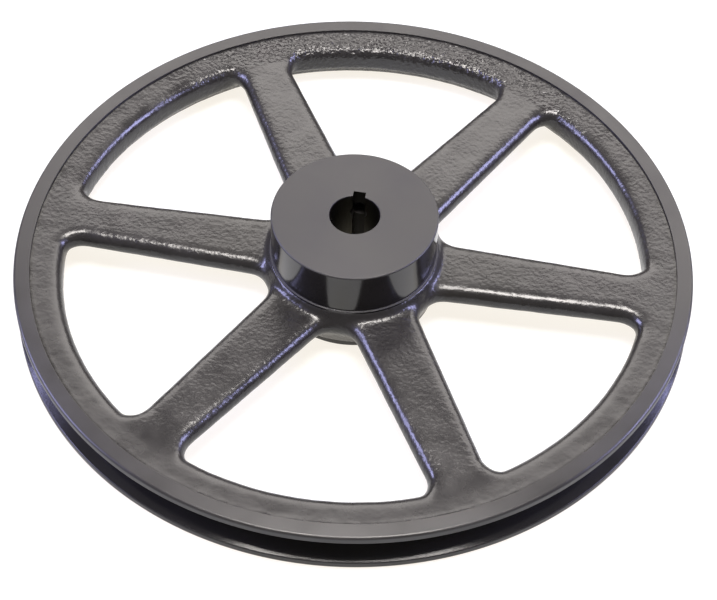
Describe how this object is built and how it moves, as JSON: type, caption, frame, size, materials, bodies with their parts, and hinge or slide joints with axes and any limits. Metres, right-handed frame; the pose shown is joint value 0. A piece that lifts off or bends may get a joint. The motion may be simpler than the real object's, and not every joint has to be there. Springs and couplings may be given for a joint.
{
  "type": "v belt pulley",
  "caption": "Cast iron V-belt pulley with one groove, spoked web, projecting hub, keyed bore and adjustable set screws.",
  "frame": {"origin": "on the bore axis, half way across the rim's face, which is the belt's mid-plane", "axes": "+Z along the bore towards the long end of the hub; +Y towards the keyway; an arm lies on +X"},
  "size_m": [0.2604, 0.2604, 0.0397],
  "materials": {
    "painted_cast_iron": "dark grey satin enamel, dipped over sand-cast grey iron; turned rim and hub faces smoother",
    "black_oxide_steel": "black oxide on alloy steel, lightly oiled"
  },
  "bodies": {
    "pulley": {"pulley_casting": "painted_cast_iron"},
    "keyway_screw": {"set_screw_over_keyway": "black_oxide_steel"},
    "side_screw": {"set_screw_side": "black_oxide_steel"}
  },
  "joints": [
    {"name": "keyway_screw_travel", "type": "slide", "parent": "pulley", "child": "keyway_screw", "axis": [0, -1, 0], "range_m": [-0.0054, 0.002]},
    {"name": "side_screw_travel", "type": "slide", "parent": "pulley", "child": "side_screw", "axis": [1, 0, 0], "range_m": [-0.0075, 0.002]}
  ]
}
